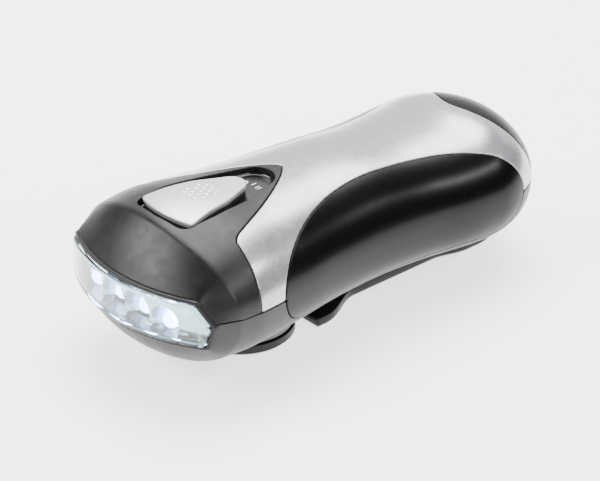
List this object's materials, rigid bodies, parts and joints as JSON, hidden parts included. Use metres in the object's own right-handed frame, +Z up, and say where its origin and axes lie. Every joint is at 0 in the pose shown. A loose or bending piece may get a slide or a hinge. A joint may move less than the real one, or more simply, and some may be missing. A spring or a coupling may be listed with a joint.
{
  "type": "wind-up torch",
  "caption": "Hand-crank torch with a curved front window over a row of LEDs, a sliding switch, soft side grips and a long crank arm with a fold-out knob under the body.",
  "frame": {"origin": "centre of the footprint's box, on the surface the torch stands on", "axes": "the window faces -Y, +Y runs to the tail, +Z is up"},
  "size_m": [0.068, 0.15, 0.0502],
  "materials": {
    "black_shell": "fine grain",
    "silver_cover": "satin silver lacquer",
    "grip_rubber": "smooth satin",
    "inlay_gloss": "gloss",
    "lower_shell": "satin",
    "bezel": "gloss",
    "lens": "clear",
    "reflector_silver": "bright",
    "led_clear": "clear",
    "board_green": "solder mask",
    "tin": "tinned",
    "slider_silver": "satin",
    "black_part": "satin",
    "white_part": "satin",
    "crank_black": "satin",
    "steel": "turned",
    "bronze": "sintered",
    "gear_plastic": "natural",
    "copper": "enamelled wire",
    "magnet": "ground",
    "cell_case": "plated",
    "wrap_green": "shrink film",
    "lead_red": "insulation",
    "lead_white": "insulation"
  },
  "bodies": {
    "housing": {"nose_hood": "black_shell", "top_cover": "silver_cover", "side_grip_left": "grip_rubber", "side_grip_right": "grip_rubber", "rear_inlay": "inlay_gloss", "lower_housing": "lower_shell", "window_bezel": "bezel", "window_lens": "lens", "reflector": "reflector_silver", "leds": "led_clear", "led_board": "board_green", "led_leads": "tin", "slide_switch": "steel", "main_board": "board_green", "board_parts": "black_part", "board_screws": "steel", "bearing_housing": "lower_shell", "crank_bushing": "bronze", "gear_frame": "white_part", "gear_plate": "white_part", "gear_axles": "steel", "frame_screws": "steel", "generator_can": "steel", "generator_cap": "black_part", "generator_coil": "copper", "battery_cells": "cell_case", "battery_wrap": "wrap_green", "battery_cradle": "black_part", "battery_leads": "lead_red", "generator_leads": "lead_white", "housing_screws": "steel"},
    "slider": {"slider_cap": "slider_silver", "slider_base": "black_part", "switch_actuator": "white_part"},
    "crank": {"crank_disc": "crank_black", "crank_shaft": "steel", "crank_wheel": "gear_plastic", "crank_screw": "steel", "crank_arm": "crank_black", "arm_screws": "steel", "knob_hinge_pin": "steel"},
    "knob_arm": {"knob_yoke": "crank_black", "knob_axle": "steel"},
    "knob": {"crank_knob": "crank_black"},
    "second_gear": {"gear_a": "gear_plastic"},
    "third_gear": {"gear_b": "gear_plastic"},
    "rotor": {"generator_rotor": "magnet"}
  },
  "joints": [
    {"name": "slider_travel", "type": "slide", "parent": "housing", "child": "slider", "axis": [0, 1, 0], "range_m": [0, 0.008]},
    {"name": "crank_turn", "type": "hinge", "parent": "housing", "child": "crank", "pos_m": [0, -0.0287, 0.002], "axis": [0, 0, 1], "continuous": true},
    {"name": "knob_fold", "type": "hinge", "parent": "crank", "child": "knob_arm", "pos_m": [0, 0.0486, 0.0017], "axis": [-1, 0, 0], "range_deg": [0, 90]},
    {"name": "knob_spin", "type": "hinge", "parent": "knob_arm", "child": "knob", "pos_m": [0, 0.0586, 0.0024], "axis": [0, 1, 0], "continuous": true},
    {"name": "second_gear_turn", "type": "hinge", "parent": "housing", "child": "second_gear", "pos_m": [0, -0.0107, 0.016], "axis": [0, 0, 1], "continuous": true},
    {"name": "third_gear_turn", "type": "hinge", "parent": "housing", "child": "third_gear", "pos_m": [0, 0.0043, 0.02], "axis": [0, 0, 1], "continuous": true},
    {"name": "rotor_turn", "type": "hinge", "parent": "housing", "child": "rotor", "pos_m": [0, 0.0163, 0.03], "axis": [0, 0, 1], "continuous": true}
  ],
  "couplings": [
    {"joint": "second_gear_turn", "follows": "crank_turn", "ratio": -5},
    {"joint": "third_gear_turn", "follows": "crank_turn", "ratio": 20},
    {"joint": "rotor_turn", "follows": "crank_turn", "ratio": -60}
  ]
}
